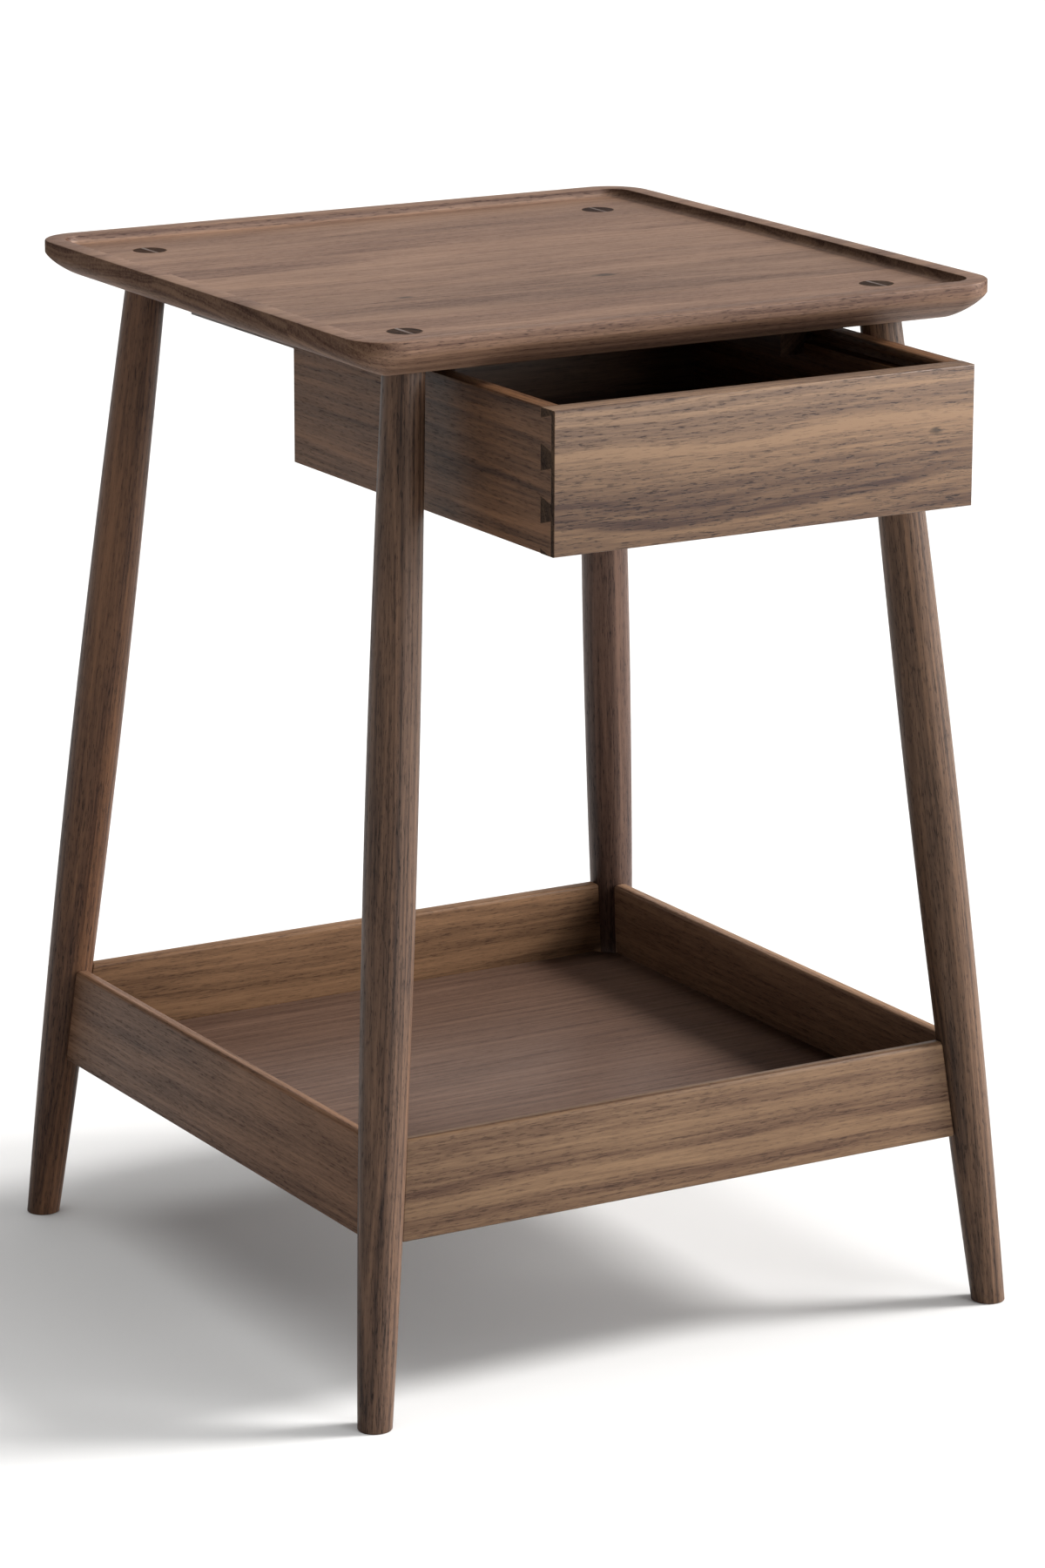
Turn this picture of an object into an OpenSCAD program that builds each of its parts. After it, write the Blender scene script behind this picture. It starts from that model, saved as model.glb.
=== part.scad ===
// Side table with a hung drawer, splayed turned legs and a low tray.
// Millimetres. +Z is up, the floor is z = 0 and the drawer opens towards -Y.
// The drawer is drawn pulled out, and the origin is on the floor at the centre
// of the whole box in that state.

/* [Table] */
// Height of the raised rim above the floor
table_height = 600; // [520:1:680]
// Side of the square top
top_size = 406; // [390:1:440]
// Thickness of the top
top_thickness = 22; // [19:0.5:26]
// Height of the upright band around the edge
edge_band = 7; // [5:0.5:9]
// How far the underside is set in from the edge
undercut = 24; // [18:0.5:25]
// Corner radius of the top in plan
corner_radius = 26; // [26:0.5:34]
// Width of the flat rim
rim_width = 12; // [10:0.5:16]
// Depth of the recess inside the rim
recess_depth = 5; // [4.5:0.5:6]

/* [Legs] */
// Sideways distance from the centre to a leg's foot
foot_x = 204.5; // [190:0.5:215]
// Front-to-back distance from the centre to a leg's foot
foot_y = 208.5; // [190:0.5:215]
// Sideways distance from the centre to a leg's tenon in the top
head_x = 151.5; // [146:0.5:158]
// Front-to-back distance from the centre to a leg's tenon in the top
head_y = 150.5; // [146:0.5:158]
// Radius at the foot
foot_radius = 9.7; // [9:0.1:11]
// Largest radius, near the middle of the leg
belly_radius = 14.6; // [13.5:0.1:15.5]
// Radius at the shoulder under the top
shoulder_radius = 11.7; // [11.2:0.1:13]
// Radius of the round tenon that passes through the top
tenon_radius = 9.8; // [9:0.1:10.5]
// Height of the thickest point
belly_height = 320; // [280:5:360]

/* [Wedges] */
// Thickness of a tenon wedge at its driven end
wedge_head = 2.2; // [1.6:0.1:2.6]
// Thickness of a tenon wedge at its tip
wedge_tip = 0.8; // [0.6:0.1:1.2]
// Length of a tenon wedge down the tenon
wedge_length = 16; // [12:1:18]

/* [Tray] */
// Height of the bottom of the tray rails
rail_bottom = 101.5; // [80:0.5:130]
// Height of the tray rails, along their slope
rail_height = 57; // [50:1:64]
// Thickness of the tray rails
rail_thickness = 8.5; // [8:0.5:9]
// How far the middle of a rail is set inside the middle of the legs
rail_inset = 1.5; // [1.2:0.1:2]
// Radius of the rails' eased top edges
rail_round = 2; // [1.5:0.5:2.5]
// Thickness of the stub tenons on the rails
rail_tenon = 4.5; // [4:0.5:5]
// Thickness of the tray panel
panel_thickness = 5; // [4:0.5:6]
// Height of the panel's upper face
panel_top = 112; // [110:0.5:116]

/* [Drawer] */
// Outside width of the drawer
drawer_width = 265; // [250:1:268]
// Outside depth of the drawer, front to back
drawer_depth = 286; // [270:1:290]
// Height of the drawer
drawer_height = 78; // [70:1:78]
// Gap between the drawer and the top
drawer_gap = 7; // [5:0.5:8]
// Thickness of the drawer front
front_thickness = 14; // [14:0.5:16]
// Thickness of the drawer sides
side_thickness = 11; // [10:0.5:12]
// Thickness of the drawer back
back_thickness = 10; // [8:0.5:11]
// Thickness of the drawer bottom
bottom_thickness = 5; // [4:0.5:6]
// How far the drawer front is pulled out, measured from shut
drawer_open = 136; // [120:1:150]
// Wood left in front of the tails on the drawer front
lap = 3.3; // [3:0.1:4.5]
// Width of a tail at its root
tail_root = 12.8; // [11:0.1:14]
// Extra width of a tail on each side at its end
tail_flare = 3; // [1.5:0.1:3.2]

/* [Runners] */
// Width of a runner bar
runner_width = 15.5; // [12:0.5:18]
// Height of a runner bar
runner_height = 24.5; // [22:0.5:26]
// Length of a runner bar
runner_length = 283.5; // [270:0.5:290]
// Height of the tongue that carries the drawer
tongue_height = 5.4; // [4.5:0.1:5.6]
// How far the tongue stands out of the bar
tongue_reach = 5.9; // [4:0.1:6]
// Radius of the runner screws
screw_radius = 2; // [1.5:0.1:2.5]

/* [Hidden] */
$fn = 64;

// Heights of the top
recess_z = table_height - recess_depth;
underside_z = table_height - top_thickness;

// One leg's axis, in the corner where x and y are positive
leg_reach = [head_x - foot_x, head_y - foot_y, recess_z];
leg_length = norm(leg_reach);
leg_lean = acos(recess_z / leg_length);
leg_turn = atan2(leg_reach[1], leg_reach[0]);
leg_over = 25;
leg_steps = 40;
shoulder_s = underside_z / cos(leg_lean);
tenon_root_z = underside_z - 10;
// Turns each round solid about its own axis, which keeps its seam off the lean
seam_turn = 37;

// Where a leg's axis is at height z
function axis_x(z) = foot_x + (head_x - foot_x) * z / recess_z;
function axis_y(z) = foot_y + (head_y - foot_y) * z / recess_z;

// A leg's radius at height z: a long swell that thins faster towards the foot
function leg_radius(z) =
    z > belly_height
    ? belly_radius - (belly_radius - shoulder_radius)
        * pow((z - belly_height) / (underside_z - belly_height), 1.7)
    : belly_radius - (belly_radius - foot_radius)
        * pow((belly_height - z) / belly_height, 2);

// Tray
rail_slope_x = atan((foot_x - head_x) / recess_z);
rail_slope_y = atan((foot_y - head_y) / recess_z);
rail_reach = 189;
rail_shoulder = 7;
rail_tenon_gap = 4.2;
panel_groove = 3;
panel_clip = 17;

// Drawer, measured with the table's centre as zero
side_clearance = 0.7;
drawer_top_z = underside_z - drawer_gap;
drawer_bottom_z = drawer_top_z - drawer_height;
inside_x = drawer_width / 2 - side_thickness;
runner_front_y = -124.5;
front_back_y = runner_front_y - 0.5 - drawer_open;
front_y = front_back_y - front_thickness;
rear_y = front_y + drawer_depth;
tail_length = front_thickness - lap;
tail_rows = [9.4, 37.5, 65.6];
groove_z = drawer_top_z - 11;
groove_height = 6.5;
groove_depth = side_clearance + tongue_reach + 0.6;
bottom_z = drawer_bottom_z + 6;
bottom_housing = 4;
back_height = 45;
back_housing = 4;
back_set_in = 9;

// Runners
bar_x = inside_x - side_clearance - runner_width;
bar_z = underside_z - runner_height;
tongue_z = groove_z + groove_height - 0.2 - tongue_height;
screw_places = [30, runner_length / 2, runner_length - 30];
screw_head_radius = 3.8;
screw_sink = 3;
screw_depth = 34;

// Puts the origin at the centre of the whole box, drawer pulled out
frame_y = -(front_y + foot_y + foot_radius) / 2;

// ---- Helpers ----

module at_corner(x_sign, y_sign) {
    mirror([x_sign < 0 ? 1 : 0, 0, 0])
    mirror([0, y_sign < 0 ? 1 : 0, 0])
        children();
}

// A square slab with round corners whose edge follows profile, a list of
// [inset from the edge, height]. radius is the corner radius in plan.
module profiled_slab(size, radius, profile) {
    straight = size - 2 * radius;
    edge = [for (p = profile) [radius - p[0], p[1]]];
    low = profile[0][1];
    high = profile[len(profile) - 1][1];
    corner = concat([[0, low]], edge, [[0, high]]);
    across = concat(
        [for (p = edge) [straight / 2 + p[0], p[1]]],
        [for (i = [len(edge) - 1:-1:0]) [-straight / 2 - edge[i][0], edge[i][1]]]
    );
    for (turn = [0, 90])
        rotate([0, 0, turn]) rotate([90, 0, 0])
            linear_extrude(height = straight, center = true) polygon(across);
    for (turn = [0:90:270])
        rotate([0, 0, turn]) translate([straight / 2, straight / 2, 0])
            rotate_extrude(angle = 90) polygon(corner);
}

// A bar's cross-section with all four edges eased
module eased_rectangle(width, height, radius) {
    translate([radius, 0]) square([width - 2 * radius, height]);
    translate([0, radius]) square([width, height - 2 * radius]);
    for (x = [radius, width - radius], y = [radius, height - radius])
        translate([x, y]) circle(r = radius);
}

// ---- Top ----

// Points around the hollow-looking undercut, from the underside to the band
undercut_steps = 8;
top_profile = concat(
    [for (i = [0:undercut_steps]) let (a = 90 - 90 * i / undercut_steps)
        [undercut * (1 - pow(cos(a), 1.5)),
         table_height - edge_band - (top_thickness - edge_band) * pow(sin(a), 1.5)]],
    [[0, table_height]]
);
cove_steps = 6;
recess_profile = concat(
    [for (i = [0:cove_steps]) let (a = 90 * i / cove_steps)
        [recess_depth * (1 - sin(a)), table_height - recess_depth * cos(a)]],
    [[0, table_height + 5]]
);

module tabletop_body() {
    difference() {
        profiled_slab(top_size, corner_radius, top_profile);
        profiled_slab(top_size - 2 * rim_width, corner_radius - rim_width, recess_profile);
        for (x_sign = [-1, 1], y_sign = [-1, 1])
            at_corner(x_sign, y_sign) tenon_rod();
        runner_screw_solids();
    }
}

// ---- Legs ----

module along_leg() {
    translate([foot_x, foot_y, 0]) rotate([0, leg_lean, leg_turn]) children();
}

module tenon_rod() {
    along_leg() rotate([0, 0, seam_turn]) cylinder(r = tenon_radius, h = leg_length + leg_over);
}

module leg_swell() {
    along_leg() rotate([0, 0, seam_turn]) rotate_extrude() polygon(concat(
        [[0, -leg_over], [foot_radius, -leg_over]],
        [for (i = [0:leg_steps]) let (z = underside_z * i / leg_steps)
            [leg_radius(z), z / cos(leg_lean)]],
        [[shoulder_radius, shoulder_s + leg_over], [0, shoulder_s + leg_over]]
    ));
}

module slab_between(low, high) {
    translate([0, 0, low]) cube([2 * top_size, 2 * top_size, high - low]);
}

module wedge_block() {
    along_leg() translate([0, 0, leg_length + 2]) rotate([0, 0, -leg_turn])
        rotate([90, 0, 0]) linear_extrude(height = 4 * tenon_radius, center = true)
            polygon([
                [-wedge_head / 2, 0], [wedge_head / 2, 0],
                [wedge_tip / 2, -wedge_length - 2], [-wedge_tip / 2, -wedge_length - 2]
            ]);
}

module leg() {
    difference() {
        union() {
            intersection() { leg_swell(); slab_between(0, underside_z); }
            intersection() { tenon_rod(); slab_between(tenon_root_z, recess_z); }
        }
        wedge_block();
        rail_tenon_y();
        rail_tenon_x();
    }
}

module leg_wedge() {
    intersection() {
        wedge_block();
        tenon_rod();
        slab_between(tenon_root_z, recess_z);
    }
}

// ---- Tray ----

rail_top = rail_bottom + rail_height * cos(rail_slope_y);

// Local frame of the rail along X on the +Y side: y is outwards, z up the slope
module on_rail_y() {
    translate([0, axis_y(rail_top), rail_top]) rotate([rail_slope_y, 0, 0]) children();
}
module on_rail_x() {
    translate([axis_x(rail_top), 0, rail_top]) rotate([0, -rail_slope_x, 0])
        rotate([0, 0, -90]) children();
}

module rail_bar() {
    translate([-rail_reach, 0, 0]) rotate([90, 0, 90])
        linear_extrude(height = 2 * rail_reach)
            translate([-rail_thickness / 2 - rail_inset, -rail_height])
                eased_rectangle(rail_thickness, rail_height, rail_round);
}

// The tenon's ends follow the slope of the leg that they enter
module tenon_bar(reach_at) {
    low = -rail_height + rail_shoulder;
    high = -rail_shoulder;
    low_x = reach_at[0] - rail_tenon_gap;
    high_x = reach_at[1] - rail_tenon_gap;
    translate([0, rail_tenon / 2 - rail_inset, 0]) rotate([90, 0, 0])
        linear_extrude(height = rail_tenon)
            polygon([[-low_x, low], [low_x, low], [high_x, high], [-high_x, high]]);
}

module rail_tenon_y() {
    on_rail_y() tenon_bar([axis_x(rail_bottom + rail_shoulder), axis_x(rail_top - rail_shoulder)]);
}
module rail_tenon_x() {
    on_rail_x() tenon_bar([axis_y(rail_bottom + rail_shoulder), axis_y(rail_top - rail_shoulder)]);
}

// The panel is housed in a groove in each rail, and its corners clear the legs
panel_mid = panel_top - panel_thickness / 2;
panel_half_x = axis_x(panel_mid) - rail_inset - rail_thickness / 2 + panel_groove;
panel_half_y = axis_y(panel_mid) - rail_inset - rail_thickness / 2 + panel_groove;

module panel_slab() {
    translate([0, 0, panel_top - panel_thickness]) linear_extrude(height = panel_thickness)
        polygon([for (q = [[1, 1], [-1, 1], [-1, -1], [1, -1]], end = [0, 1])
            let (first = (q[0] * q[1] > 0) == (end == 0))
            [q[0] * (panel_half_x - (first ? 0 : panel_clip)),
             q[1] * (panel_half_y - (first ? panel_clip : 0))]]);
}

module panel_groove_block() {
    translate([-panel_half_x, -panel_half_y, panel_top - panel_thickness])
        cube([2 * panel_half_x, 2 * panel_half_y, panel_thickness]);
}

module rail_y() {
    difference() {
        union() {
            difference() {
                on_rail_y() rail_bar();
                leg_swell();
                mirror([1, 0, 0]) leg_swell();
            }
            rail_tenon_y();
        }
        panel_groove_block();
    }
}
module rail_x() {
    difference() {
        union() {
            difference() {
                on_rail_x() rail_bar();
                leg_swell();
                mirror([0, 1, 0]) leg_swell();
            }
            rail_tenon_x();
        }
        panel_groove_block();
    }
}

// ---- Runners ----

module runner_right_solid() {
    difference() {
        translate([0, runner_front_y + runner_length, 0]) rotate([90, 0, 0])
            linear_extrude(height = runner_length) {
                translate([bar_x, bar_z]) square([runner_width, runner_height]);
                translate([bar_x + runner_width - 1, tongue_z])
                    square([1 + tongue_reach, tongue_height]);
            }
        runner_screw_solids();
    }
}

module screw(head_radius, radius, sink, depth) {
    cylinder(r = radius, h = depth);
    cylinder(r1 = head_radius, r2 = radius, h = sink);
}

module runner_screw_solids() {
    for (x_sign = [-1, 1], along = screw_places)
        translate([x_sign * (bar_x + runner_width / 2), runner_front_y + along, bar_z])
            screw(screw_head_radius, screw_radius, screw_sink, screw_depth);
}

// ---- Drawer ----

// Tails of one side, in the y-z plane, pushed through thickness x
module tails(x, thickness) {
    translate([x, front_back_y, drawer_bottom_z]) rotate([90, 0, 90])
        linear_extrude(height = thickness)
            for (row = tail_rows)
                polygon([
                    [0.5, row - tail_root / 2], [0, row - tail_root / 2],
                    [-tail_length, row - tail_root / 2 - tail_flare],
                    [-tail_length, row + tail_root / 2 + tail_flare],
                    [0, row + tail_root / 2], [0.5, row + tail_root / 2]
                ]);
}

module drawer_front_solid() {
    difference() {
        translate([-drawer_width / 2, front_y, drawer_bottom_z])
            cube([drawer_width, front_thickness, drawer_height]);
        tails(inside_x, side_thickness);
        tails(-drawer_width / 2, side_thickness);
        drawer_bottom_solid();
    }
}

module drawer_side_right_solid() {
    difference() {
        union() {
            translate([inside_x, front_back_y, drawer_bottom_z])
                cube([side_thickness, rear_y - front_back_y, drawer_height]);
            tails(inside_x, side_thickness);
        }
        translate([inside_x - 1, front_back_y, groove_z])
            cube([1 + groove_depth, drawer_depth, groove_height]);
        drawer_bottom_solid();
        drawer_back_solid();
    }
}

module drawer_back_solid() {
    translate([-inside_x - back_housing, rear_y - back_set_in - back_thickness,
               bottom_z + bottom_thickness])
        cube([2 * (inside_x + back_housing), back_thickness, back_height]);
}

module drawer_bottom_solid() {
    translate([-inside_x - bottom_housing, front_back_y - bottom_housing, bottom_z])
        cube([2 * (inside_x + bottom_housing),
              rear_y - back_set_in - front_back_y + bottom_housing, bottom_thickness]);
}

module bottom_screw_solids() {
    for (x = [-80, 0, 80])
        translate([x, rear_y - back_set_in - back_thickness / 2, bottom_z])
            screw(3, 1.5, 2, 18);
}

// ---- Nodes ----

module in_frame() { translate([0, frame_y, 0]) children(); }

module tabletop() { color("#7d5f4e") in_frame() tabletop_body(); }

module leg_front_left() { color("#5f4639") in_frame() at_corner(-1, -1) leg(); }
module leg_front_right() { color("#5f4639") in_frame() at_corner(1, -1) leg(); }
module leg_back_left() { color("#5f4639") in_frame() at_corner(-1, 1) leg(); }
module leg_back_right() { color("#5f4639") in_frame() at_corner(1, 1) leg(); }

module wedge_front_left() { color("#8a6a52") in_frame() at_corner(-1, -1) leg_wedge(); }
module wedge_front_right() { color("#8a6a52") in_frame() at_corner(1, -1) leg_wedge(); }
module wedge_back_left() { color("#8a6a52") in_frame() at_corner(-1, 1) leg_wedge(); }
module wedge_back_right() { color("#8a6a52") in_frame() at_corner(1, 1) leg_wedge(); }

module tray_rail_front() { color("#7c5f47") in_frame() mirror([0, 1, 0]) rail_y(); }
module tray_rail_back() { color("#7c5f47") in_frame() rail_y(); }
module tray_rail_left() { color("#6b5142") in_frame() mirror([1, 0, 0]) rail_x(); }
module tray_rail_right() { color("#6b5142") in_frame() rail_x(); }
module tray_panel() { color("#70564a") in_frame() panel_slab(); }

module runner_left() { color("#5a4337") in_frame() mirror([1, 0, 0]) runner_right_solid(); }
module runner_right() { color("#5a4337") in_frame() runner_right_solid(); }
module runner_screws() { color("#b8a878") in_frame() runner_screw_solids(); }

module drawer_front() { color("#86684f") in_frame() drawer_front_solid(); }
module drawer_side_left() {
    color("#694f40") in_frame() mirror([1, 0, 0]) drawer_side_right_solid();
}
module drawer_side_right() { color("#694f40") in_frame() drawer_side_right_solid(); }
module drawer_back() {
    color("#694f40") in_frame() difference() { drawer_back_solid(); bottom_screw_solids(); }
}
module drawer_bottom() {
    color("#6f5546") in_frame() difference() { drawer_bottom_solid(); bottom_screw_solids(); }
}
module drawer_bottom_screws() { color("#b8a878") in_frame() bottom_screw_solids(); }

tabletop();
leg_front_left();
leg_front_right();
leg_back_left();
leg_back_right();
wedge_front_left();
wedge_front_right();
wedge_back_left();
wedge_back_right();
tray_rail_front();
tray_rail_back();
tray_rail_left();
tray_rail_right();
tray_panel();
runner_left();
runner_right();
runner_screws();
drawer_front();
drawer_side_left();
drawer_side_right();
drawer_back();
drawer_bottom();
drawer_bottom_screws();
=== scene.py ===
"""Looks of the side table with drawer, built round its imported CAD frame. Metres, +Z up."""
import math

import bmesh
import bpy
from mathutils import Matrix, Vector


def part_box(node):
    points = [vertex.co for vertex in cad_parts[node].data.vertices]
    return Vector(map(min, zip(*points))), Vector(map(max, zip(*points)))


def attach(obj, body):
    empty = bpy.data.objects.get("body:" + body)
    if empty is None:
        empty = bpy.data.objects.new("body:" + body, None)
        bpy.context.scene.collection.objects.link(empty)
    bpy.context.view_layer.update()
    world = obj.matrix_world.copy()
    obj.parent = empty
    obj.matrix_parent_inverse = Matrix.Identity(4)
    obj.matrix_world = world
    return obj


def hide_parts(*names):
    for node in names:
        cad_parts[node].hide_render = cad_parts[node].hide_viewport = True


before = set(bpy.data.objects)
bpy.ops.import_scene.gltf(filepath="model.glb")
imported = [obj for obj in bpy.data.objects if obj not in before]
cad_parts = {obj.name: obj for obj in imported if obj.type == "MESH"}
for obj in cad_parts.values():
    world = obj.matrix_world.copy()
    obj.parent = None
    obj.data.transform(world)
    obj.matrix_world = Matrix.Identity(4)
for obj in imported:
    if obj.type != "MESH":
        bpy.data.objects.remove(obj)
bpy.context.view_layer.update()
scene = bpy.context.scene

MM = 0.001
Z_AXIS = Vector((0, 0, 1))

# ---- Driving sizes, in millimetres, as the CAD part has them ----

# Tabletop: a square with round corners, a rim round a recess, and an undercut below a plain band
TOP_HALF = 203
CORNER = 26
BAND = 7
UNDERCUT = 24
RIM = 12
RIM_EASE = 0.9
COVE_EASE = 0.5
RECESS = 5
top_low, top_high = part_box("tabletop")
UNDERSIDE = top_low.z / MM
RIM_TOP = top_high.z / MM
RECESS_Z = RIM_TOP - RECESS
MIDDLE = Vector(((top_low.x + top_high.x) / 2, (top_low.y + top_high.y) / 2, 0))

# Legs: where the axis meets the floor and the recess, and the turned shape between
LEG_NAMES = ("front_left", "front_right", "back_left", "back_right")
FOOT = (204.5, 208.5)
HEAD = (151.5, 150.5)
FOOT_RADIUS = 9.7
BELLY_RADIUS = 14.6
SHOULDER_RADIUS = 11.7
BELLY_HEIGHT = 320
TENON_RADIUS = 9.8
TENON_SLACK = 0.1
TENON_EASE = 0.15
HOLE_SLACK = 0.05
# The foot's rounded edge: heights, and how far the leg is trimmed there
FOOT_EDGE = ((0, 0.7), (0.15, 0.3), (0.6, 0))
LEG_SIDES = 56
LEG_RINGS = 60

# Wedges, each in a saw cut across a tenon
WEDGE_HEAD = 2.2
WEDGE_TIP = 0.8
WEDGE_LENGTH = 16
KERF_SLACK = 0.06

# Tray rails
RAIL_THICKNESS = 8.5
RAIL_HEIGHT = 57
RAIL_INSET = 1.5
RAIL_OUTWARD = {
    "front": Vector((0, -1, 0)),
    "back": Vector((0, 1, 0)),
    "left": Vector((-1, 0, 0)),
    "right": Vector((1, 0, 0)),
}

# Marks in the wood: the top's glue joints across Y, and dark flecks with their place and length
STAVE_JOINTS = (-114, -38, 46, 124)
TOP_FLECKS = ((34, -51, RECESS_Z, 11), (-100, -60, RECESS_Z, 8))
FRONT_KNOT = (108, -7, 5, 6)

# The wood's light and dark tones, in 0-255 display values
LEG_TONES = {
    "front_left": ((99, 75, 59), (38, 26, 21)),
    "front_right": ((103, 78, 60), (41, 28, 21)),
    "back_left": ((101, 71, 50), (39, 23, 18)),
    "back_right": ((97, 74, 62), (37, 24, 22)),
}
# The rails are one wood, but their tones also hold painted light, each scaled to the brightness of its seen
# face: the right rail, whose inner face lies in shade, is painted much lighter, and the back and left rails
# somewhat lighter than the front.
RAIL_TONES_AND_PAINTED_LIGHT = {
    "front": ((109, 86, 65), (58, 39, 30)),
    "back": ((126, 96, 71), (68, 48, 35)),
    "left": ((118, 88, 67), (62, 42, 31)),
    "right": ((150, 119, 93), (83, 58, 47)),
}

# ---- Camera, light and floor ----

CAMERA_AZIMUTH = -30.52
CAMERA_ELEVATION = 14.93
CAMERA_ROLL = 0.16
CAMERA_LENS = 127.65
CAMERA_DISTANCE = 3.206
CAMERA_TARGET = (-0.01065, -0.03685, 0.300)
FLOOR_HALF = 20


def add_camera():
    """Looks from the front left, a little from above. Azimuth runs from the front to the right side."""
    azimuth = math.radians(CAMERA_AZIMUTH)
    elevation = math.radians(CAMERA_ELEVATION)
    roll = math.radians(CAMERA_ROLL)
    back = Vector((
        math.sin(azimuth) * math.cos(elevation),
        -math.cos(azimuth) * math.cos(elevation),
        math.sin(elevation),
    ))
    level = Vector((math.cos(azimuth), math.sin(azimuth), 0))
    upright = back.cross(level)
    right = math.cos(roll) * level + math.sin(roll) * upright
    up = back.cross(right)
    camera = bpy.data.objects.new("camera", bpy.data.cameras.new("camera"))
    scene.collection.objects.link(camera)
    camera.data.sensor_width = 36
    camera.data.lens = CAMERA_LENS
    camera.data.clip_end = 100
    place = Matrix((right, up, back)).transposed().to_4x4()
    place.translation = MIDDLE + Vector(CAMERA_TARGET) + CAMERA_DISTANCE * back
    camera.matrix_world = place
    scene.camera = camera


def add_light(name, strength, azimuth, elevation, spread, colour=(1, 1, 1)):
    """A far soft light, so the floor is lit evenly. Degrees; azimuth runs from the right side to the back."""
    light = bpy.data.lights.new(name, "SUN")
    light.energy = strength
    light.color = colour
    light.angle = math.radians(spread)
    lamp = bpy.data.objects.new(name, light)
    scene.collection.objects.link(lamp)
    turn = math.radians(azimuth)
    rise = math.radians(elevation)
    away = Vector((math.cos(turn) * math.cos(rise), math.sin(turn) * math.cos(rise), math.sin(rise)))
    lamp.location = MIDDLE + Vector((0, 0, 0.3)) + away * 3
    lamp.rotation_mode = "QUATERNION"
    lamp.rotation_quaternion = away.to_track_quat("Z", "Y")


def add_surround():
    """A white world, bright at the horizon and dim overhead."""
    world = bpy.data.worlds.new("studio")
    world.use_nodes = True
    g = Graph(world.node_tree)
    height = g.add("ShaderNodeSeparateXYZ", {0: g.add("ShaderNodeTexCoord").outputs["Generated"]}).outputs[2]
    backdrop = world.node_tree.nodes["Background"]
    backdrop.inputs["Color"].default_value = (1, 1, 1, 1)
    g.feed(backdrop.inputs["Strength"], g.range(height, 0.12, 0.36, 0.72, 0.04))
    scene.world = world


def add_floor():
    mesh = bpy.data.meshes.new("floor")
    corners = [(x * FLOOR_HALF, y * FLOOR_HALF, 0) for x, y in ((-1, -1), (1, -1), (1, 1), (-1, 1))]
    mesh.from_pydata(corners, [], [(0, 1, 2, 3)])
    floor = bpy.data.objects.new("floor", mesh)
    scene.collection.objects.link(floor)
    material = bpy.data.materials.new("floor")
    material.use_nodes = True
    shader = material.node_tree.nodes["Principled BSDF"]
    shader.inputs["Base Color"].default_value = (0.63, 0.63, 0.627, 1)
    shader.inputs["Roughness"].default_value = 0.9
    shader.inputs["Specular IOR Level"].default_value = 0.1
    mesh.materials.append(material)


def add_stage():
    """Soft light, mostly from the front right, on a floor that turns white where it is lit."""
    scene.view_settings.view_transform = "Standard"
    add_surround()
    add_light("key", 4.1, azimuth=-17, elevation=37, spread=15, colour=(1, 0.985, 0.97))
    add_light("side_window", 4.0, azimuth=-18, elevation=14, spread=40)
    add_light("front_fill", 2.3, azimuth=-66, elevation=13, spread=35)
    add_light("back_sheen", 0.25, azimuth=62, elevation=28, spread=40, colour=(1, 0.93, 0.9))
    add_light("ceiling", 1.8, azimuth=180, elevation=85, spread=60)
    add_floor()


# ---- Node trees ----

def srgb(red, green, blue):
    """A colour in 0-255 display values as linear light."""
    def linear(value):
        value /= 255
        return value / 12.92 if value <= 0.04045 else ((value + 0.055) / 1.055) ** 2.4
    return (linear(red), linear(green), linear(blue), 1)


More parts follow.
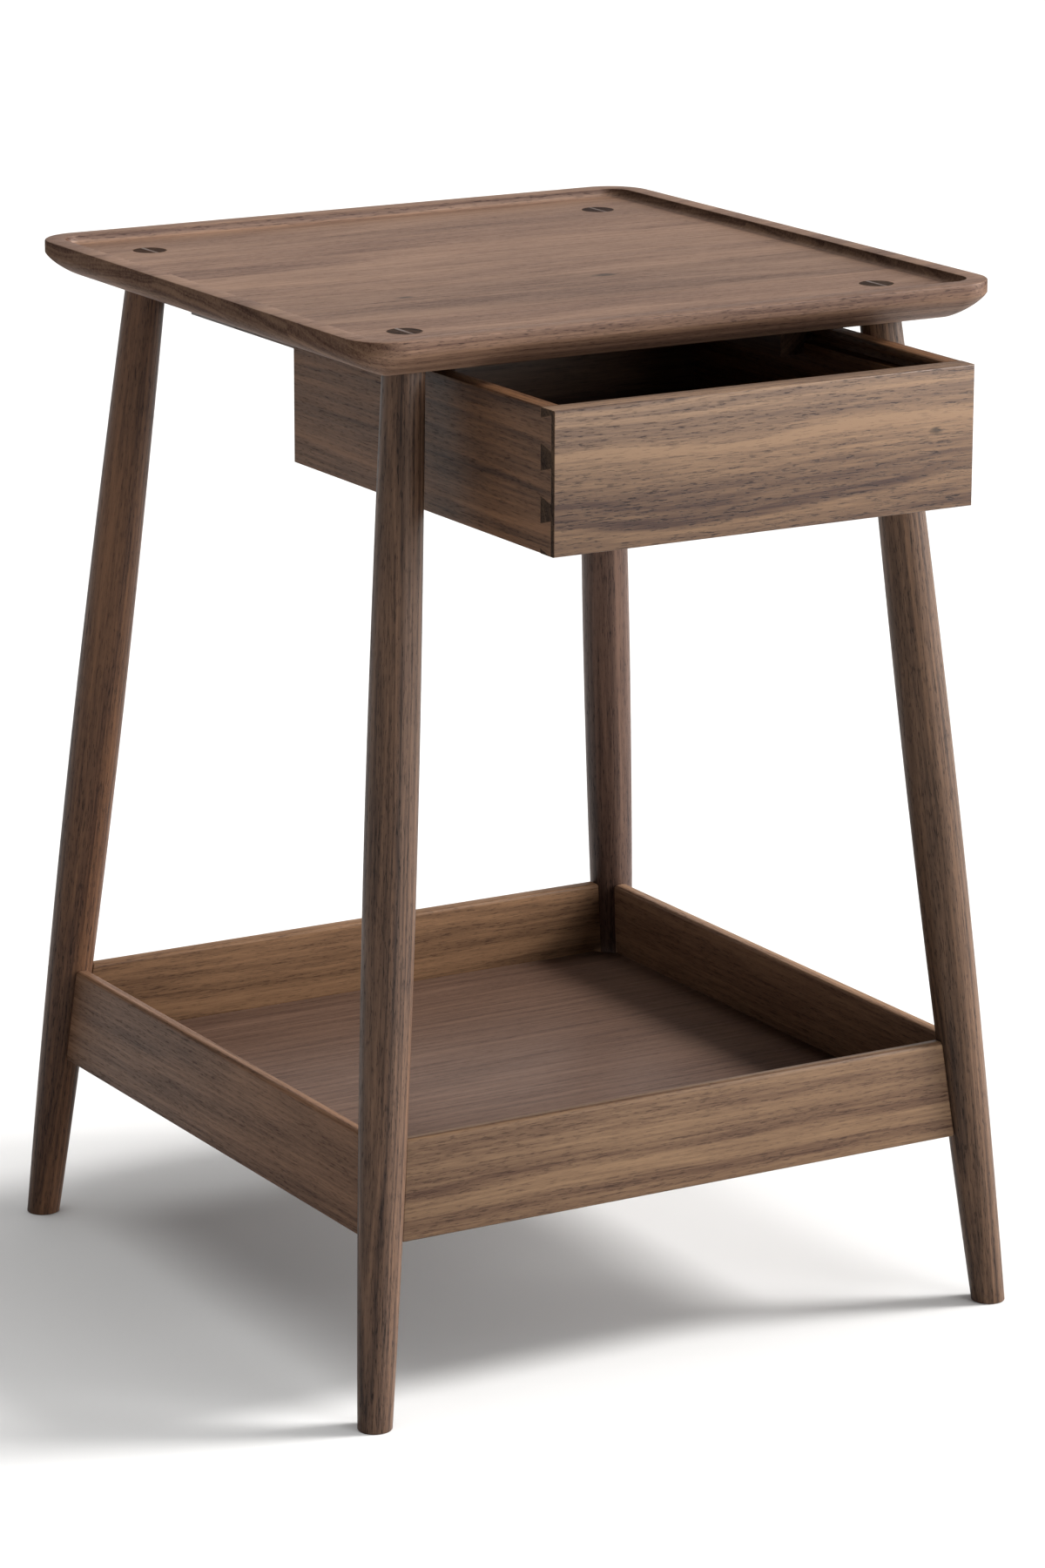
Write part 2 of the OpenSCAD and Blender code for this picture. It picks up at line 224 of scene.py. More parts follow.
class Graph:
    """Short calls for building a node tree."""

    def __init__(self, tree):
        self.tree = tree

    def feed(self, socket, value):
        if isinstance(value, bpy.types.NodeSocket):
            self.tree.links.new(value, socket)
        elif value is not None:
            socket.default_value = value

    def add(self, kind, inputs=(), **settings):
        node = self.tree.nodes.new(kind)
        for name, value in settings.items():
            setattr(node, name, value)
        for key, value in dict(inputs).items():
            self.feed(node.inputs[key], value)
        return node

    def math(self, operation, first, second=None, third=None, clamp=False):
        node = self.add("ShaderNodeMath", operation=operation, use_clamp=clamp)
        for socket, value in zip(node.inputs, (first, second, third)):
            self.feed(socket, value)
        return node.outputs[0]

    def vector(self, operation, first, second=None):
        node = self.add("ShaderNodeVectorMath", operation=operation)
        self.feed(node.inputs[0], first)
        self.feed(node.inputs[1], second)
        return node.outputs[0]

    def scalar(self, operation, first, second=None):
        """Vector maths with a plain number as its answer."""
        node = self.add("ShaderNodeVectorMath", operation=operation)
        self.feed(node.inputs[0], first)
        self.feed(node.inputs[1], second)
        return node.outputs["Value"]

    def part(self, vector, axis):
        return self.add("ShaderNodeSeparateXYZ", {0: vector}).outputs["XYZ".index(axis)]

    def noise(self, place, stretch, detail=2.0, roughness=0.5, output="Fac"):
        """Noise with so many cells to the metre along each axis."""
        scaled = self.vector("MULTIPLY", place, stretch)
        settings = {"Vector": scaled, "Scale": 1.0, "Detail": detail, "Roughness": roughness}
        return self.add("ShaderNodeTexNoise", settings).outputs[output]

    def wander(self, place, stretch, reach):
        """A vector that drifts either side of nothing, by half of reach at most."""
        drift = self.noise(place, stretch, output="Color")
        return self.vector("MULTIPLY", self.vector("SUBTRACT", drift, (0.5, 0.5, 0.5)), reach)

    def range(self, value, low, high, to_low=0.0, to_high=1.0, smooth=True):
        node = self.add("ShaderNodeMapRange", interpolation_type="SMOOTHSTEP" if smooth else "LINEAR")
        names = ("Value", "From Min", "From Max", "To Min", "To Max")
        for name, given in zip(names, (value, low, high, to_low, to_high)):
            self.feed(node.inputs[name], given)
        return node.outputs["Result"]

    def mix(self, factor, first, second, blend="MIX"):
        node = self.add("ShaderNodeMix", data_type="RGBA", blend_type=blend)
        self.feed(node.inputs[0], factor)
        self.feed(node.inputs[6], first)
        self.feed(node.inputs[7], second)
        return node.outputs[2]

    def tint(self, colour, by):
        return self.mix(1.0, colour, (*by, 1), "MULTIPLY")


# ---- Wood ----

GROUP_INPUTS = (
    ("Place", "NodeSocketVector"),
    ("Pith", "NodeSocketVector"),
    ("Ring", "NodeSocketFloat"),
    ("Wave", "NodeSocketFloat"),
    ("Light", "NodeSocketColor"),
    ("Dark", "NodeSocketColor"),
    ("Contrast", "NodeSocketFloat"),
    ("Pores", "NodeSocketFloat"),
    ("End", "NodeSocketFloat"),
    ("Gloss", "NodeSocketFloat"),
    ("Matte", "NodeSocketFloat"),
)
GROUP_OUTPUTS = (
    ("Color", "NodeSocketColor"),
    ("Roughness", "NodeSocketFloat"),
    ("Specular", "NodeSocketFloat"),
    ("Normal", "NodeSocketVector"),
)


def trunk_radius(g, given):
    """The distance from the pith. The trunk isn't straight: it bends slowly and has small ripples."""
    place = given["Place"]
    bend = g.noise(place, (2.2, 9, 9), 2.0, 0.45, "Color")
    bend = g.vector("SUBTRACT", bend, (0.5, 0.5, 0.5))
    sway = g.math("MULTIPLY", given["Wave"], 4.0)
    bend = g.vector("MULTIPLY", bend, g.add("ShaderNodeCombineXYZ", {"Y": sway, "Z": sway}).outputs[0])
    ripple = g.wander(place, (12, 90, 90), (0, 0.0014, 0.0014))
    across = g.vector("ADD", g.vector("ADD", place, bend), ripple)
    across = g.vector("MULTIPLY", g.vector("SUBTRACT", across, given["Pith"]), (0, 1, 1))
    return g.scalar("LENGTH", across)


def wood_darkness(g, given, streak, fibre):
    """Years differ in tone, so boards are striped unevenly; each year also ends in a thin dark line."""
    place = given["Place"]
    contrast = given["Contrast"]
    years = g.math("DIVIDE", trunk_radius(g, given), given["Ring"])
    stripe = g.add(
        "ShaderNodeTexNoise",
        {"W": g.math("MULTIPLY", years, 0.45), "Scale": 1.0, "Detail": 3.0, "Roughness": 0.55},
        noise_dimensions="1D",
    ).outputs["Fac"]
    part = g.math("FRACT", g.math("ADD", years, g.math("MULTIPLY", stripe, 3.0)))
    late = g.math("MULTIPLY", g.range(part, 0.1, 0.9), g.range(part, 1.0, 0.92))
    cloud = g.noise(place, (5, 24, 24), 2.0, 0.5)
    darkness = g.math("MULTIPLY", g.range(stripe, 0.28, 0.72, -0.5, 0.5), contrast)
    darkness = g.math("ADD", darkness, g.math("MULTIPLY", late, g.math("MULTIPLY", contrast, 0.22)))
    darkness = g.math("ADD", darkness, g.range(streak, 0.3, 0.7, 0.14, 0.66, False))
    darkness = g.math("ADD", darkness, g.range(cloud, 0.3, 0.7, -0.14, 0.14, False))
    return g.math("ADD", darkness, g.range(fibre, 0.3, 0.7, -0.12, 0.12, False), clamp=True)


def open_pores(g, given, darkness):
    """Short dark dashes along the grain and dots across it, thickest in the dark years."""
    dash = g.noise(given["Place"], (170, 1500, 1500), 2.0, 0.55)
    crowd = g.range(darkness, 0.1, 0.8, 0.25, 1.0, False)
    pore = g.math("MULTIPLY", g.range(dash, 0.53, 0.66), crowd)
    return g.math("MULTIPLY", pore, given["Pores"])


def end_grain(g):
    """1 where the surface faces along the grain, 0 where it doesn't."""
    facing = g.add("ShaderNodeTexCoord").outputs["Normal"]
    return g.range(g.math("ABSOLUTE", g.part(facing, "X")), 0.3, 0.8)


def rubbed_and_highlit_edges(g, streak):
    """1 on the arrises, where hands rub them and where a painted highlight line runs along them, broken up
    along the grain.
    """
    soft = g.add("ShaderNodeBevel", {"Radius": 0.0011}, samples=4).outputs[0]
    true = g.add("ShaderNodeNewGeometry").outputs["True Normal"]
    turn = g.scalar("DOT_PRODUCT", soft, true)
    return g.math("MULTIPLY", g.range(turn, 0.985, 0.80), g.range(streak, 0.35, 0.65, 0.35, 1.0))


def add_walnut_group():
    """Walnut as a solid: growth rings round a pith that runs along X, with fibre streaks and open pores."""
    tree = bpy.data.node_groups.new("walnut", "ShaderNodeTree")
    for name, kind in GROUP_INPUTS:
        tree.interface.new_socket(name, in_out="INPUT", socket_type=kind)
    for name, kind in GROUP_OUTPUTS:
        tree.interface.new_socket(name, in_out="OUTPUT", socket_type=kind)
    g = Graph(tree)
    given = g.add("NodeGroupInput").outputs
    result = g.add("NodeGroupOutput")
    streak = g.noise(given["Place"], (16, 500, 500), 4.0, 0.62)
    fibre = g.noise(given["Place"], (70, 1900, 1900), 2.0, 0.6)
    darkness = wood_darkness(g, given, streak, fibre)
    pore = open_pores(g, given, darkness)
    end = end_grain(g)
    wear_and_highlight = rubbed_and_highlit_edges(g, streak)

    # End grain drinks the oil and goes darker; arrises are painted lighter, partly as rubbed wear and partly
    # as a painted highlight line
    colour = g.mix(darkness, given["Light"], given["Dark"])
    colour = g.mix(pore, colour, g.tint(given["Dark"], (0.42, 0.40, 0.40)))
    colour = g.mix(g.math("MULTIPLY", end, given["End"]), colour, g.tint(colour, (0.22, 0.22, 0.23)))
    # Painted highlight along the arrises, which also stands for rubbed wear
    colour = g.mix(g.math("MULTIPLY", wear_and_highlight, 0.45), colour, g.tint(given["Light"], (1.3, 1.34, 1.38)))

    rough = g.range(streak, 0.25, 0.75, 0.38, 0.48, False)
    rough = g.math("ADD", rough, g.math("MULTIPLY", pore, 0.25))
    rough = g.math("ADD", rough, g.math("MULTIPLY", end, 0.25))
    rough = g.math("ADD", rough, given["Matte"])
    rough = g.math("SUBTRACT", rough, g.math("MULTIPLY", wear_and_highlight, 0.06))
    specular = g.math("MULTIPLY", given["Gloss"], g.range(end, 0.0, 1.0, 1.0, 0.25, False))

    height = g.math("ADD", g.math("MULTIPLY", pore, -1.0), g.math("MULTIPLY", streak, 0.35))
    height = g.math("ADD", height, g.math("MULTIPLY", fibre, 0.25))
    bump = g.add("ShaderNodeBump", {"Strength": 0.35, "Distance": 0.00018, "Height": height}).outputs[0]
    for (name, _), value in zip(GROUP_OUTPUTS, (colour, rough, specular, bump)):
        g.feed(result.inputs[name], value)
    return tree


WALNUT = add_walnut_group()


def glue_staves(g, spot, joints):
    """Where in the tree each stave of a glued board comes from, and its own tone with dark joint lines."""
    across = g.part(spot, "Y")
    stave = 0.0
    shade = 1.0
    for joint in joints:
        stave = g.math("ADD", stave, g.math("GREATER_THAN", across, joint * MM))
        off = g.math("ABSOLUTE", g.math("SUBTRACT", across, joint * MM))
        shade = g.math("MULTIPLY", shade, g.range(off, 0.0, 0.0004, 0.80, 1.0))
    dice = g.add("ShaderNodeTexWhiteNoise", {"W": g.math("ADD", stave, 3.0)}, noise_dimensions="1D")
    shade = g.math("MULTIPLY", shade, g.range(dice.outputs["Value"], 0.0, 1.0, 0.90, 1.08, False))
    apart = g.vector("SUBTRACT", dice.outputs["Color"], (0.5, 0.5, 0.5))
    return g.vector("ADD", spot, g.vector("MULTIPLY", apart, (7.0, 0.16, 0.05))), shade


def add_knot(g, spot, knot, shade):
    """The shade with a ragged dark fleck in it, longest along the grain."""
    x, y, z, length = knot
    away = g.vector("SUBTRACT", spot, Vector((x, y, z)) * MM)
    away = g.vector("MULTIPLY", away, (1.0, 2.0, 2.0))
    away = g.vector("ADD", away, g.wander(spot, (200, 700, 700), (0.006, 0.006, 0.006)))
    dark = g.range(g.scalar("LENGTH", away), length * 0.2 * MM, length * MM, 0.3, 1.0)
    return g.math("MULTIPLY", shade, dark)


def walnut(name, light, dark, pith, ring, wave, contrast, pores, shift, end=0.9, gloss=0.25, matte=0.0,
           staves=(), knots=()):
    """A board's own walnut. Pith, ring and wave are in millimetres; shift is metres along the tree."""
    material = bpy.data.materials.new(name)
    material.use_nodes = True
    g = Graph(material.node_tree)
    spot = g.add("ShaderNodeTexCoord").outputs["Object"]
    place = spot
    shade = 1.0
    if staves:
        place, shade = glue_staves(g, spot, staves)
        # Shaped edges cut across the years, so the stripes show more there than on the flat
        upright = g.part(g.add("ShaderNodeTexCoord").outputs["Normal"], "Z")
        contrast = g.range(upright, 0.97, 0.6, contrast, 0.75)
        pores = g.range(upright, 0.97, 0.6, pores, 0.8)
    for knot in knots:
        shade = add_knot(g, spot, knot, shade)
    wood = g.add("ShaderNodeGroup", node_tree=WALNUT)
    settings = {
        "Place": g.vector("ADD", place, (shift, 0, 0)),
        "Pith": Vector((0, *pith)) * MM,
        "Ring": ring * MM,
        "Wave": wave * MM,
        "Light": srgb(*light),
        "Dark": srgb(*dark),
        "Contrast": contrast,
        "Pores": pores,
        "End": end,
        "Gloss": gloss,
        "Matte": matte,
    }
    for key, value in settings.items():
        g.feed(wood.inputs[key], value)
    colour = wood.outputs["Color"]
    if staves or knots:
        grey = g.add("ShaderNodeCombineXYZ", {"X": shade, "Y": shade, "Z": shade}).outputs[0]
        colour = g.vector("MULTIPLY", colour, grey)
    shader = material.node_tree.nodes["Principled BSDF"]
    g.feed(shader.inputs["Base Color"], colour)
    g.feed(shader.inputs["Roughness"], wood.outputs["Roughness"])
    g.feed(shader.inputs["Specular IOR Level"], wood.outputs["Specular"])
    g.feed(shader.inputs["Normal"], wood.outputs["Normal"])
    return material


def brass(name):
    """Dull brass with blotches of tarnish."""
    material = bpy.data.materials.new(name)
    material.use_nodes = True
    g = Graph(material.node_tree)
    place = g.add("ShaderNodeTexCoord").outputs["Object"]
    blotch = g.noise(place, (400, 400, 400), 3.0, 0.6)
    shader = material.node_tree.nodes["Principled BSDF"]
    g.feed(shader.inputs["Base Color"], g.mix(blotch, srgb(196, 168, 104), srgb(132, 104, 62)))
    g.feed(shader.inputs["Roughness"], g.range(blotch, 0.3, 0.7, 0.28, 0.5, False))
    shader.inputs["Metallic"].default_value = 1.0
    return material


# ---- Mesh work that every piece shares ----

def finish_piece(name, mesh, place, material, body, nodes, sharp=35):
    """Shades a mesh smooth between its sharp edges and puts it in the frame."""
    bm = bmesh.new()
    bm.from_mesh(mesh)
    bmesh.ops.recalc_face_normals(bm, faces=bm.faces)
    for face in bm.faces:
        face.smooth = True
    for edge in bm.edges:
        edge.smooth = len(edge.link_faces) == 2 and edge.calc_face_angle(0) < math.radians(sharp)
    bm.to_mesh(mesh)
    bm.free()
    mesh.materials.clear()
    mesh.materials.append(material)
    piece = bpy.data.objects.new(name, mesh)
    scene.collection.objects.link(piece)
    piece.matrix_world = place
    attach(piece, body)
    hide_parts(*nodes)


def mesh_of(bm, name):
    mesh = bpy.data.meshes.new(name)
    bm.to_mesh(mesh)
    bm.free()
    return mesh


def loop_of(bm, points):
    """Vertices for a ring of points in millimetres."""
    return [bm.verts.new(Vector(point) * MM) for point in points]


def bridge(bm, lower, upper):
    """A band of quads between two closed rings of as many corners."""
    count = len(lower)
    for i in range(count):
        bm.faces.new((lower[i], lower[(i + 1) % count], upper[(i + 1) % count], upper[i]))


def fill(bm, loops):
    """Triangles between closed loops: the first is the outline, the others are holes in it."""
    edges = [bm.edges.get((loop[i - 1], loop[i])) for loop in loops for i in range(len(loop))]
    bmesh.ops.triangle_fill(bm, use_beauty=True, edges=edges)


def cut(mesh, cutter):
    """The mesh less another closed mesh."""
    whole = bpy.data.objects.new("whole", mesh)
    tool = bpy.data.objects.new("tool", cutter)
    for one in (whole, tool):
        scene.collection.objects.link(one)
    step = whole.modifiers.new("cut", "BOOLEAN")
    step.object = tool
    step.operation = "DIFFERENCE"
    step.solver = "EXACT"
    made = bpy.data.meshes.new_from_object(whole.evaluated_get(bpy.context.evaluated_depsgraph_get()))
    for one in (whole, tool):
        bpy.data.objects.remove(one)
    return made


def quarter(steps):
    """Angles from 0 to 90 degrees in so many steps."""
    return [math.pi / 2 * i / steps for i in range(steps + 1)]


# ---- Legs ----

def corner(name):
    """The signs of X and Y for a leg's name, such as front_left."""
    return (-1 if "left" in name else 1), (-1 if "front" in name else 1)


def leg_line(name):
    """The foot of a leg's axis and the axis itself. Millimetres, from the table's middle."""
    sx, sy = corner(name)
    foot = Vector((sx * FOOT[0], sy * FOOT[1], 0))
    head = Vector((sx * HEAD[0], sy * HEAD[1], RECESS_Z))
    return foot, (head - foot).normalized()


def leg_frame(name):
    """The foot's place, and the turn that lays local X up the leg."""
    foot, axis = leg_line(name)
    stand = Z_AXIS.rotation_difference(axis).to_matrix()
    lay = Matrix(((0, 0, -1), (0, 1, 0), (1, 0, 0)))
    place = (stand @ lay).to_4x4()
    place.translation = MIDDLE + foot * MM
    return place


def leg_radius(height):
    """The leg swells from the foot to the belly, then draws in to the shoulder under the top."""
    if height > BELLY_HEIGHT:
        share = (height - BELLY_HEIGHT) / (UNDERSIDE - BELLY_HEIGHT)
        return BELLY_RADIUS - (BELLY_RADIUS - SHOULDER_RADIUS) * share ** 1.7
    share = (BELLY_HEIGHT - height) / BELLY_HEIGHT
    return BELLY_RADIUS - (BELLY_RADIUS - FOOT_RADIUS) * share ** 2


def side_point(far, angle, reach):
    return far, reach * math.cos(angle), reach * math.sin(angle)


def point_at_height(height, angle, turn, radius=None, trim=0.0):
    """The point on a leg's side that stands at a height, in the leg's own frame. Millimetres."""
    side = turn @ Vector(side_point(0, angle, 1))
    up = turn.col[0].z
    far = height / up
    for _ in range(6):
        reach = (radius or leg_radius(far * up)) - trim
        far = (height - reach * side.z) / up
    return side_point(far, angle, reach)


def level_ring(height, turn, radius=None, trim=0.0):
    """Points round a leg, all at one height."""
    angles = [2 * math.pi * i / LEG_SIDES for i in range(LEG_SIDES)]
    return [point_at_height(height, angle, turn, radius, trim) for angle in angles]


def between_rings(low, high, share, turn):
    """Points on the leg's surface part of the way from one ring to another."""
    points = []
    for i, (below, above) in enumerate(zip(low, high)):
        far = below[0] + (above[0] - below[0]) * share
        points.append(side_point(far, 2 * math.pi * i / LEG_SIDES, leg_radius(far * turn.col[0].z)))
    return points


def kerf_cutter(place):
    """The saw cut for the wedge, in the leg's own frame and a hair wider than the wedge."""
    length = RECESS_Z / place.to_3x3().col[0].z
    above = 2
    section = (
        (above, WEDGE_HEAD / 2 + KERF_SLACK),
        (above, -WEDGE_HEAD / 2 - KERF_SLACK),
        (-WEDGE_LENGTH, -WEDGE_TIP / 2 - KERF_SLACK),
        (-WEDGE_LENGTH, WEDGE_TIP / 2 + KERF_SLACK),
    )
    bm = bmesh.new()
    ends = [
        loop_of(bm, [(length + up, side, -thick) for up, thick in section])
        for side in (-2 * TENON_RADIUS, 2 * TENON_RADIUS)
    ]
    bridge(bm, *ends)
    bm.faces.new(reversed(ends[0]))
    bm.faces.new(ends[1])
    bmesh.ops.recalc_face_normals(bm, faces=bm.faces)
    return mesh_of(bm, "kerf")


def add_leg(name, material):
    """Rings up the leg, a step in to the tenon, and the wedge's saw cut in its end."""
    place = leg_frame(name)
    turn = place.to_3x3()
    tenon = TENON_RADIUS - TENON_SLACK
    outlines = [level_ring(height, turn, trim=trim) for height, trim in FOOT_EDGE]
    base = outlines[-1]
    shoulder = level_ring(UNDERSIDE, turn)
    outlines += [between_rings(base, shoulder, i / LEG_RINGS, turn) for i in range(1, LEG_RINGS)]
    outlines += [shoulder, level_ring(UNDERSIDE, turn, tenon), level_ring(RECESS_Z - 0.2, turn, tenon)]
    outlines.append(level_ring(RECESS_Z, turn, tenon, TENON_EASE))
    bm = bmesh.new()
    rings = [loop_of(bm, outline) for outline in outlines]
    for lower, upper in zip(rings, rings[1:]):
        bridge(bm, lower, upper)
    bm.faces.new(reversed(rings[0]))
    bm.faces.new(rings[-1])
    bmesh.ops.recalc_face_normals(bm, faces=bm.faces)
    mesh = cut(mesh_of(bm, "leg_" + name), kerf_cutter(place))
    finish_piece("leg_" + name + "_turned", mesh, place, material, "table", ["leg_" + name])


# ---- Tabletop ----

def round_square(half, radius, height, steps=14):
    """The corners of a square with round corners, counter-clockwise. Millimetres."""
    points = []
    for turn, (sx, sy) in enumerate(((1, 1), (-1, 1), (-1, -1), (1, -1))):
        for angle in quarter(steps):
            angle += math.pi / 2 * turn
            points.append((
                sx * (half - radius) + radius * math.cos(angle),
                sy * (half - radius) + radius * math.sin(angle),
                height,
            ))
    return points


def top_profile():
    """Inset and height from the underside, round the undercut, over the rim and down the cove."""
    band_low = RIM_TOP - BAND
    drop = band_low - UNDERSIDE
    fall = RECESS - COVE_EASE
    points = []
    for angle in reversed(quarter(20)):
        points.append((UNDERCUT * (1 - math.cos(angle) ** 1.5), band_low - drop * math.sin(angle) ** 1.5))
    for angle in quarter(4):
        points.append((RIM_EASE * (1 - math.cos(angle)), RIM_TOP - RIM_EASE * (1 - math.sin(angle))))
    for angle in quarter(3):
        points.append((RIM - COVE_EASE * (1 - math.sin(angle)), RIM_TOP - COVE_EASE * (1 - math.cos(angle))))
    for angle in quarter(12)[1:]:
        points.append((RIM + fall * (1 - math.cos(angle)), RIM_TOP - COVE_EASE - fall * math.sin(angle)))
    return points


def tenon_hole(bm, name):
    """The rings of a leg's hole at the underside and in the recess, joined."""
    turn = leg_frame(name).to_3x3()
    foot, _ = leg_line(name)
    rings = []
    for height in (UNDERSIDE, RECESS_Z):
        points = level_ring(height, turn, TENON_RADIUS + HOLE_SLACK)
        rings.append(loop_of(bm, [foot + turn @ Vector(point) for point in points]))
    bridge(bm, *rings)
    return rings


def add_tabletop(material):
    bm = bmesh.new()
    rings = [
        loop_of(bm, round_square(TOP_HALF - inset, CORNER - inset, height))
        for inset, height in top_profile()
    ]
    for lower, upper in zip(rings, rings[1:]):
        bridge(bm, lower, upper)
    holes = [tenon_hole(bm, name) for name in LEG_NAMES]
    for level, outline in ((0, rings[0]), (1, rings[-1])):
        fill(bm, [outline] + [hole[level] for hole in holes])
    place = Matrix.Translation(MIDDLE)
    finish_piece("top_board", mesh_of(bm, "tabletop"), place, material, "table", ["tabletop"], 28)


# ---- Tray rails ----

# The section's corners, as their side and whether they are the low ones, with their radius
RAIL_ROUNDS = (((1, 0), 2.9), ((-1, 0), 2.2), ((-1, -1), 1.4), ((1, -1), 1.4))
# The rings at a rail's end, as how much smaller the section is and how far it stands back from the leg
RAIL_END = ((0.0, 1.5), (0.2, 0.7), (0.7, 0.15), (1.4, 0.02))
# Every rail meets its legs between these distances from its middle
SCRIBE_BETWEEN = (140, 186)


def rail_section(inset):
    """A rail's cross-section: generous rounds at the top, small ones below. Millimetres."""
    half = RAIL_THICKNESS / 2
    points = []
    for turn, ((side, low), radius) in enumerate(RAIL_ROUNDS):
        radius = max(radius, inset + 0.4)
        middle = (side * (half - radius), -radius if low == 0 else -RAIL_HEIGHT + radius)
        reach = radius - inset
        for angle in quarter(8):
            angle += math.pi / 2 * turn
            points.append((middle[0] + reach * math.cos(angle), middle[1] + reach * math.sin(angle)))
    return points


def leg_gap(point, name):
    """How far a point is from a leg's surface. Millimetres, from the table's middle."""
    foot, axis = leg_line(name)
    far = (point - foot).dot(axis)
    return (point - foot - far * axis).length - leg_radius(far * axis.z)


def reach_to_leg(start, direction, name):
    """How far to go from a point, in a direction, to meet a leg. Millimetres."""
    near, far = SCRIBE_BETWEEN
    for _ in range(30):
        middle = (near + far) / 2
        if leg_gap(start + direction * middle, name) > 0:
            near = middle
        else:
            far = middle
    return near


def add_rail(name, material):
    """A rail whose ends are scribed to the two legs and slightly rounded where they meet them."""
    outward = RAIL_OUTWARD[name]
    legs = [leg for leg in LEG_NAMES if name in leg]
    foot, head = (FOOT[0], HEAD[0]) if outward.x else (FOOT[1], HEAD[1])
    slope = math.atan((foot - head) / RECESS_Z)
    _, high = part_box("tray_rail_" + name)
    top = high.z / MM - (RAIL_THICKNESS / 2 - RAIL_INSET) * math.sin(slope)
    normal = outward * math.cos(slope) + Z_AXIS * math.sin(slope)
    up = Z_AXIS * math.cos(slope) - outward * math.sin(slope)
    length = normal.cross(up)
    base = outward * (foot + (head - foot) * top / RECESS_Z) + Z_AXIS * top - normal * RAIL_INSET
    bm = bmesh.new()
    rings = []
    for side in (-1, 1):
        leg = max(legs, key=lambda one: (length * side).dot(Vector((*corner(one), 0))))
        end_rings = []
        for inset, back in RAIL_END:
            points = []
            for across, rise in rail_section(inset):
                start = base + normal * across + up * rise
                points.append((side * (reach_to_leg(start, length * side, leg) - back), across, rise))
            end_rings.append(loop_of(bm, points))
        rings += end_rings if side == 1 else end_rings[::-1]
    for lower, upper in zip(rings, rings[1:]):
        bridge(bm, lower, upper)
    for loop in (rings[0], rings[-1]):
        fill(bm, [loop])
    place = Matrix((length, normal, up)).transposed().to_4x4()
    place.translation = MIDDLE + base * MM
    mesh = mesh_of(bm, "rail_" + name)
    finish_piece("tray_side_" + name, mesh, place, material, "table", ["tray_rail_" + name], 40)


# ---- Flat-faced pieces ----

LONG_EDGE = 60


def arrises(bm, shortest=0):
    """The edges where two faces meet at an angle."""
    return [
        edge for edge in bm.edges
        if len(edge.link_faces) == 2
        and edge.calc_length() / MM >= shortest
        and math.degrees(edge.calc_face_angle(0)) > 30
    ]


def add_board(node, name, grain, material, body, ease=0.25, long_edges=False):
    """A flat-faced piece with the CAD node's shape and eased arrises. Local X runs along the grain."""
    low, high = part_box(node)
    turn = Matrix.Rotation(math.pi / 2 if grain == "Y" else 0, 4, "Z")
    place = Matrix.Translation((low + high) / 2) @ turn
    bm = bmesh.new()
    bm.from_mesh(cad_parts[node].data)
    bmesh.ops.remove_doubles(bm, verts=bm.verts, dist=0.002 * MM)
    bmesh.ops.dissolve_limit(bm, angle_limit=math.radians(0.5), verts=bm.verts, edges=bm.edges)
    edges = arrises(bm, LONG_EDGE if long_edges else 0)
    segments = 3 if long_edges else 2
    bmesh.ops.bevel(bm, geom=edges, offset=ease * MM, segments=segments, profile=0.5, affect="EDGES",
                    clamp_overlap=True)
    bm.transform(place.inverted())
    finish_piece(name, mesh_of(bm, name), place, material, body, [node], 30)


# ---- The table ----

def build_top():
    wood = walnut("walnut_top", (116, 90, 72), (69, 47, 37), pith=(40, -140), ring=2.6, wave=5,
                  contrast=0.45, pores=0.6, shift=0, end=0.42, gloss=0.2, matte=0.12,
                  staves=STAVE_JOINTS, knots=TOP_FLECKS)
    add_tabletop(wood)


def build_legs():
    for i, name in enumerate(LEG_NAMES):
        leg_wood = walnut("walnut_leg_" + name, *LEG_TONES[name], pith=(30 + 9 * i, -70), ring=2, wave=3,
                          contrast=0.62, pores=0.9, shift=1.7 * i, gloss=0.16)
        add_leg(name, leg_wood)
        wedge_wood = walnut("walnut_wedge_" + name, (72, 55, 46), (46, 33, 28), pith=(40, 60), ring=2.5,
                            wave=4, contrast=0.5, pores=0.5, shift=5 + i)
        add_board("wedge_" + name, "tenon_wedge_" + name, "Y", wedge_wood, "table", ease=0.04)


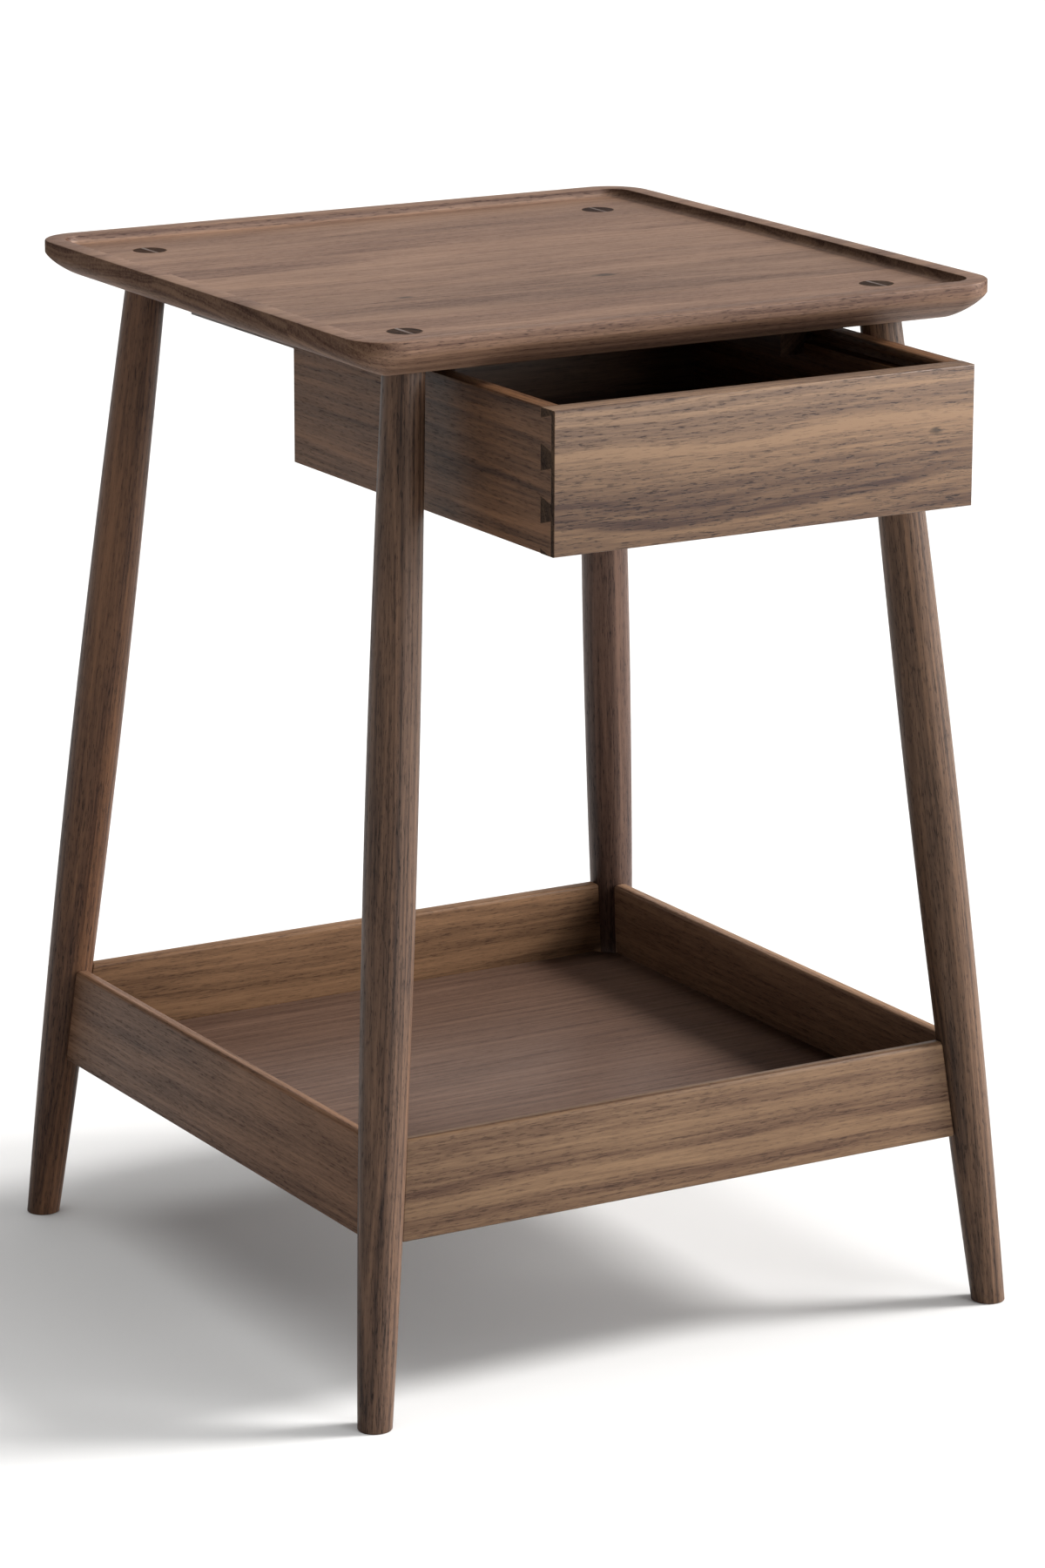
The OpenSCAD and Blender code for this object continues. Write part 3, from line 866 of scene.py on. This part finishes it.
def build_tray():
    for i, name in enumerate(RAIL_OUTWARD):
        # Each rail's tones carry painted light that lifts the shade on its seen face
        rail_wood = walnut("walnut_rail_" + name, *RAIL_TONES_AND_PAINTED_LIGHT[name], pith=(-160, 20 - 12 * i), ring=1.5,
                           wave=2, contrast=0.48, pores=0.65, shift=9 + 2.3 * i, gloss=0.1)
        add_rail(name, rail_wood)
    panel_wood = walnut("walnut_panel", (107, 83, 69), (61, 43, 36), pith=(300, 260), ring=1.6, wave=3,
                        contrast=0.3, pores=0.4, shift=21)
    add_board("tray_panel", "tray_floor", "X", panel_wood, "table", ease=0.2)


def build_runners(screw_metal):
    wood = walnut("walnut_runner", (83, 62, 49), (40, 26, 21), pith=(60, 60), ring=3, wave=5,
                  contrast=0.7, pores=0.5, shift=25, end=0.2)
    for side in ("left", "right"):
        add_board("runner_" + side, "drawer_runner_" + side, "Y", wood, "table", ease=0.3)
    add_board("runner_screws", "runner_screw_set", "X", screw_metal, "table", ease=0.05)


def build_drawer(screw_metal):
    add_board("drawer_bottom_screws", "bottom_screw_set", "X", screw_metal, "drawer", ease=0.05)
    front_wood = walnut("walnut_drawer_front", (116, 91, 69), (56, 39, 33), pith=(150, -60), ring=3.4,
                        wave=9, contrast=0.95, pores=1, shift=31, knots=[FRONT_KNOT])
    add_board("drawer_front", "drawer_face", "X", front_wood, "drawer", 0.7, long_edges=True)
    for i, side in enumerate(("left", "right")):
        side_wood = walnut("walnut_drawer_" + side, (106, 74, 50), (48, 30, 19), pith=(120, 60), ring=2.8,
                           wave=4, contrast=0.65, pores=0.65, shift=37 + 3 * i, gloss=0.1)
        add_board("drawer_side_" + side, "drawer_wall_" + side, "Y", side_wood, "drawer", 0.6,
                  long_edges=True)
    back_wood = walnut("walnut_drawer_back", (95, 72, 56), (41, 27, 21), pith=(80, 20), ring=3, wave=7,
                       contrast=0.7, pores=0.5, shift=43)
    add_board("drawer_back", "drawer_tail_board", "X", back_wood, "drawer", ease=0.4)
    bottom_wood = walnut("walnut_drawer_bottom", (95, 73, 59), (49, 33, 26), pith=(0, 300), ring=3, wave=9,
                         contrast=0.6, pores=0.4, shift=47)
    add_board("drawer_bottom", "drawer_floor", "X", bottom_wood, "drawer", ease=0.2)


add_camera()
add_stage()
build_top()
build_legs()
build_tray()
screw_metal = brass("brass_screws")
build_runners(screw_metal)
build_drawer(screw_metal)
